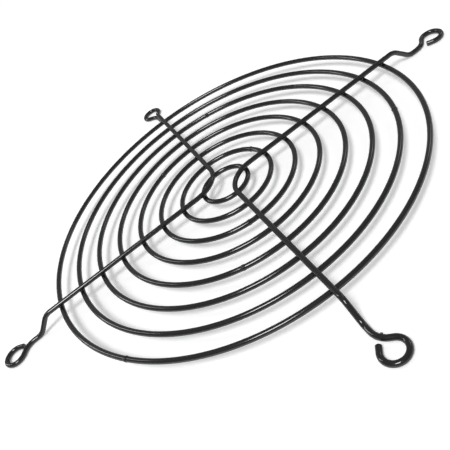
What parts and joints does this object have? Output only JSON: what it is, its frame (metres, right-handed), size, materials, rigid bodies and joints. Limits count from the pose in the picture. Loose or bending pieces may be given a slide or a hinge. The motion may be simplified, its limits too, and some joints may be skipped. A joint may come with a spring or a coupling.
{
  "type": "wire fan guard",
  "caption": "Round wire finger guard for an axial fan: concentric wire rings welded under two V-bent arm wires that step down to open screw eyelets.",
  "frame": {"origin": "centre of the guard, in the plane that the four eyelets stand on", "axes": "+Z away from the fan, through the rings to the arm wires; +X between the legs of the right arm wire; +Y completes the frame, and the eyelets lie at 45 degrees to X and Y"},
  "size_m": [0.1138, 0.1138, 0.0057],
  "materials": {
    "coated_ring_wire": "smooth semi-gloss black coating",
    "coated_arm_wire": "smooth semi-gloss black coating"
  },
  "bodies": {
    "root": {"ring_1": "coated_ring_wire", "ring_2": "coated_ring_wire", "ring_3": "coated_ring_wire", "ring_4": "coated_ring_wire", "ring_5": "coated_ring_wire", "ring_6": "coated_ring_wire", "ring_7": "coated_ring_wire", "ring_8": "coated_ring_wire", "left_arm_wire": "coated_arm_wire", "right_arm_wire": "coated_arm_wire"}
  },
  "joints": []
}
